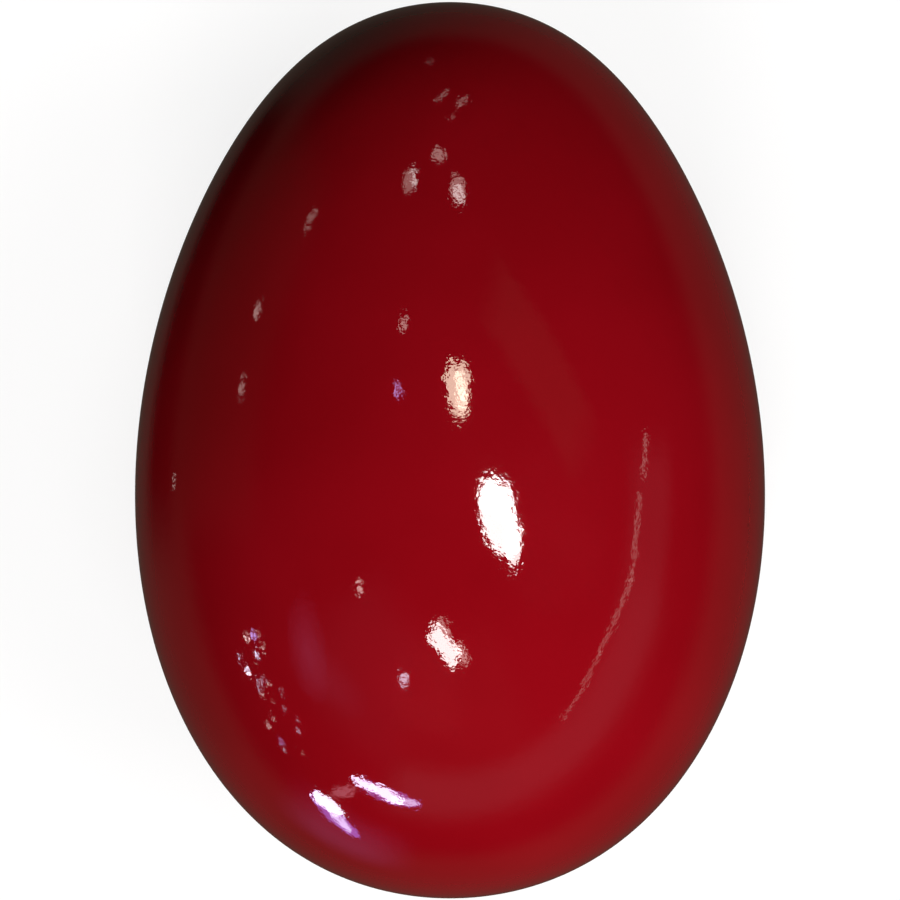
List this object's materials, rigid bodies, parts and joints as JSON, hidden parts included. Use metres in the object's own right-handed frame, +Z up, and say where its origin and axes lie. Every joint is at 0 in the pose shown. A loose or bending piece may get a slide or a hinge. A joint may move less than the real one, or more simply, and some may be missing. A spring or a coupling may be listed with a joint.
{
  "type": "egg shaker",
  "caption": "Glossy red egg-shaped hand shaker: moulded half-shells joined round the widest section, with loose steel shot inside that rattles.",
  "frame": {"origin": "on the surface that the egg lies on, under the middle of its length", "axes": "+Y along the egg's long axis towards its narrow end, +Z up, +X across the egg"},
  "size_m": [0.0422, 0.06, 0.0422],
  "materials": {
    "shell": "gloss",
    "shot": "satin"
  },
  "bodies": {
    "shell": {"blunt_shell": "shell", "narrow_shell": "shell"},
    "shot_01": {"shot_01": "shot"},
    "shot_02": {"shot_02": "shot"},
    "shot_03": {"shot_03": "shot"},
    "shot_04": {"shot_04": "shot"},
    "shot_05": {"shot_05": "shot"},
    "shot_06": {"shot_06": "shot"},
    "shot_07": {"shot_07": "shot"},
    "shot_08": {"shot_08": "shot"},
    "shot_09": {"shot_09": "shot"},
    "shot_10": {"shot_10": "shot"},
    "shot_11": {"shot_11": "shot"},
    "shot_12": {"shot_12": "shot"},
    "shot_13": {"shot_13": "shot"},
    "shot_14": {"shot_14": "shot"},
    "shot_15": {"shot_15": "shot"},
    "shot_16": {"shot_16": "shot"},
    "shot_17": {"shot_17": "shot"},
    "shot_18": {"shot_18": "shot"},
    "shot_19": {"shot_19": "shot"},
    "shot_20": {"shot_20": "shot"},
    "shot_21": {"shot_21": "shot"},
    "shot_22": {"shot_22": "shot"},
    "shot_23": {"shot_23": "shot"},
    "shot_24": {"shot_24": "shot"},
    "shot_25": {"shot_25": "shot"},
    "shot_26": {"shot_26": "shot"},
    "shot_27": {"shot_27": "shot"},
    "shot_28": {"shot_28": "shot"},
    "shot_29": {"shot_29": "shot"},
    "shot_30": {"shot_30": "shot"},
    "shot_31": {"shot_31": "shot"},
    "shot_32": {"shot_32": "shot"},
    "shot_33": {"shot_33": "shot"},
    "shot_34": {"shot_34": "shot"},
    "shot_35": {"shot_35": "shot"},
    "shot_36": {"shot_36": "shot"},
    "shot_37": {"shot_37": "shot"},
    "shot_38": {"shot_38": "shot"},
    "shot_39": {"shot_39": "shot"},
    "shot_40": {"shot_40": "shot"},
    "shot_41": {"shot_41": "shot"},
    "shot_42": {"shot_42": "shot"},
    "shot_43": {"shot_43": "shot"},
    "shot_44": {"shot_44": "shot"},
    "shot_45": {"shot_45": "shot"},
    "shot_46": {"shot_46": "shot"},
    "shot_47": {"shot_47": "shot"},
    "shot_48": {"shot_48": "shot"},
    "shot_49": {"shot_49": "shot"},
    "shot_50": {"shot_50": "shot"},
    "shot_51": {"shot_51": "shot"}
  },
  "joints": [
    {"name": "shot_01_toss", "type": "slide", "parent": "shell", "child": "shot_01", "axis": [0, 0, 1], "range_m": [0, 0.01729]},
    {"name": "shot_02_toss", "type": "slide", "parent": "shell", "child": "shot_02", "axis": [0, 0, 1], "range_m": [0, 0.02219]},
    {"name": "shot_03_toss", "type": "slide", "parent": "shell", "child": "shot_03", "axis": [0, 0, 1], "range_m": [0, 0.02455]},
    {"name": "shot_04_toss", "type": "slide", "parent": "shell", "child": "shot_04", "axis": [0, 0, 1], "range_m": [0, 0.02526]},
    {"name": "shot_05_toss", "type": "slide", "parent": "shell", "child": "shot_05", "axis": [0, 0, 1], "range_m": [0, 0.02462]},
    {"name": "shot_06_toss", "type": "slide", "parent": "shell", "child": "shot_06", "axis": [0, 0, 1], "range_m": [0, 0.02266]},
    {"name": "shot_07_toss", "type": "slide", "parent": "shell", "child": "shot_07", "axis": [0, 0, 1], "range_m": [0, 0.02127]},
    {"name": "shot_08_toss", "type": "slide", "parent": "shell", "child": "shot_08", "axis": [0, 0, 1], "range_m": [0, 0.02627]},
    {"name": "shot_09_toss", "type": "slide", "parent": "shell", "child": "shot_09", "axis": [0, 0, 1], "range_m": [0, 0.029]},
    {"name": "shot_10_toss", "type": "slide", "parent": "shell", "child": "shot_10", "axis": [0, 0, 1], "range_m": [0, 0.03022]},
    {"name": "shot_11_toss", "type": "slide", "parent": "shell", "child": "shot_11", "axis": [0, 0, 1], "range_m": [0, 0.03023]},
    {"name": "shot_12_toss", "type": "slide", "parent": "shell", "child": "shot_12", "axis": [0, 0, 1], "range_m": [0, 0.02916]},
    {"name": "shot_13_toss", "type": "slide", "parent": "shell", "child": "shot_13", "axis": [0, 0, 1], "range_m": [0, 0.02703]},
    {"name": "shot_14_toss", "type": "slide", "parent": "shell", "child": "shot_14", "axis": [0, 0, 1], "range_m": [0, 0.02164]},
    {"name": "shot_15_toss", "type": "slide", "parent": "shell", "child": "shot_15", "axis": [0, 0, 1], "range_m": [0, 0.02744]},
    {"name": "shot_16_toss", "type": "slide", "parent": "shell", "child": "shot_16", "axis": [0, 0, 1], "range_m": [0, 0.03076]},
    {"name": "shot_17_toss", "type": "slide", "parent": "shell", "child": "shot_17", "axis": [0, 0, 1], "range_m": [0, 0.03251]},
    {"name": "shot_18_toss", "type": "slide", "parent": "shell", "child": "shot_18", "axis": [0, 0, 1], "range_m": [0, 0.03305]},
    {"name": "shot_19_toss", "type": "slide", "parent": "shell", "child": "shot_19", "axis": [0, 0, 1], "range_m": [0, 0.03256]},
    {"name": "shot_20_toss", "type": "slide", "parent": "shell", "child": "shot_20", "axis": [0, 0, 1], "range_m": [0, 0.0311]},
    {"name": "shot_21_toss", "type": "slide", "parent": "shell", "child": "shot_21", "axis": [0, 0, 1], "range_m": [0, 0.02867]},
    {"name": "shot_22_toss", "type": "slide", "parent": "shell", "child": "shot_22", "axis": [0, 0, 1], "range_m": [0, 0.01851]},
    {"name": "shot_23_toss", "type": "slide", "parent": "shell", "child": "shot_23", "axis": [0, 0, 1], "range_m": [0, 0.02607]},
    {"name": "shot_24_toss", "type": "slide", "parent": "shell", "child": "shot_24", "axis": [0, 0, 1], "range_m": [0, 0.03029]},
    {"name": "shot_25_toss", "type": "slide", "parent": "shell", "child": "shot_25", "axis": [0, 0, 1], "range_m": [0, 0.03268]},
    {"name": "shot_26_toss", "type": "slide", "parent": "shell", "child": "shot_26", "axis": [0, 0, 1], "range_m": [0, 0.03377]},
    {"name": "shot_27_toss", "type": "slide", "parent": "shell", "child": "shot_27", "axis": [0, 0, 1], "range_m": [0, 0.03378]},
    {"name": "shot_28_toss", "type": "slide", "parent": "shell", "child": "shot_28", "axis": [0, 0, 1], "range_m": [0, 0.03283]},
    {"name": "shot_29_toss", "type": "slide", "parent": "shell", "child": "shot_29", "axis": [0, 0, 1], "range_m": [0, 0.03095]},
    {"name": "shot_30_toss", "type": "slide", "parent": "shell", "child": "shot_30", "axis": [0, 0, 1], "range_m": [0, 0.02809]},
    {"name": "shot_31_toss", "type": "slide", "parent": "shell", "child": "shot_31", "axis": [0, 0, 1], "range_m": [0, 0.02164]},
    {"name": "shot_32_toss", "type": "slide", "parent": "shell", "child": "shot_32", "axis": [0, 0, 1], "range_m": [0, 0.02744]},
    {"name": "shot_33_toss", "type": "slide", "parent": "shell", "child": "shot_33", "axis": [0, 0, 1], "range_m": [0, 0.03076]},
    {"name": "shot_34_toss", "type": "slide", "parent": "shell", "child": "shot_34", "axis": [0, 0, 1], "range_m": [0, 0.03251]},
    {"name": "shot_35_toss", "type": "slide", "parent": "shell", "child": "shot_35", "axis": [0, 0, 1], "range_m": [0, 0.03305]},
    {"name": "shot_36_toss", "type": "slide", "parent": "shell", "child": "shot_36", "axis": [0, 0, 1], "range_m": [0, 0.03256]},
    {"name": "shot_37_toss", "type": "slide", "parent": "shell", "child": "shot_37", "axis": [0, 0, 1], "range_m": [0, 0.0311]},
    {"name": "shot_38_toss", "type": "slide", "parent": "shell", "child": "shot_38", "axis": [0, 0, 1], "range_m": [0, 0.02867]},
    {"name": "shot_39_toss", "type": "slide", "parent": "shell", "child": "shot_39", "axis": [0, 0, 1], "range_m": [0, 0.02127]},
    {"name": "shot_40_toss", "type": "slide", "parent": "shell", "child": "shot_40", "axis": [0, 0, 1], "range_m": [0, 0.02627]},
    {"name": "shot_41_toss", "type": "slide", "parent": "shell", "child": "shot_41", "axis": [0, 0, 1], "range_m": [0, 0.029]},
    {"name": "shot_42_toss", "type": "slide", "parent": "shell", "child": "shot_42", "axis": [0, 0, 1], "range_m": [0, 0.03022]},
    {"name": "shot_43_toss", "type": "slide", "parent": "shell", "child": "shot_43", "axis": [0, 0, 1], "range_m": [0, 0.03023]},
    {"name": "shot_44_toss", "type": "slide", "parent": "shell", "child": "shot_44", "axis": [0, 0, 1], "range_m": [0, 0.02916]},
    {"name": "shot_45_toss", "type": "slide", "parent": "shell", "child": "shot_45", "axis": [0, 0, 1], "range_m": [0, 0.02703]},
    {"name": "shot_46_toss", "type": "slide", "parent": "shell", "child": "shot_46", "axis": [0, 0, 1], "range_m": [0, 0.01729]},
    {"name": "shot_47_toss", "type": "slide", "parent": "shell", "child": "shot_47", "axis": [0, 0, 1], "range_m": [0, 0.02219]},
    {"name": "shot_48_toss", "type": "slide", "parent": "shell", "child": "shot_48", "axis": [0, 0, 1], "range_m": [0, 0.02455]},
    {"name": "shot_49_toss", "type": "slide", "parent": "shell", "child": "shot_49", "axis": [0, 0, 1], "range_m": [0, 0.02526]},
    {"name": "shot_50_toss", "type": "slide", "parent": "shell", "child": "shot_50", "axis": [0, 0, 1], "range_m": [0, 0.02462]},
    {"name": "shot_51_toss", "type": "slide", "parent": "shell", "child": "shot_51", "axis": [0, 0, 1], "range_m": [0, 0.02266]}
  ]
}
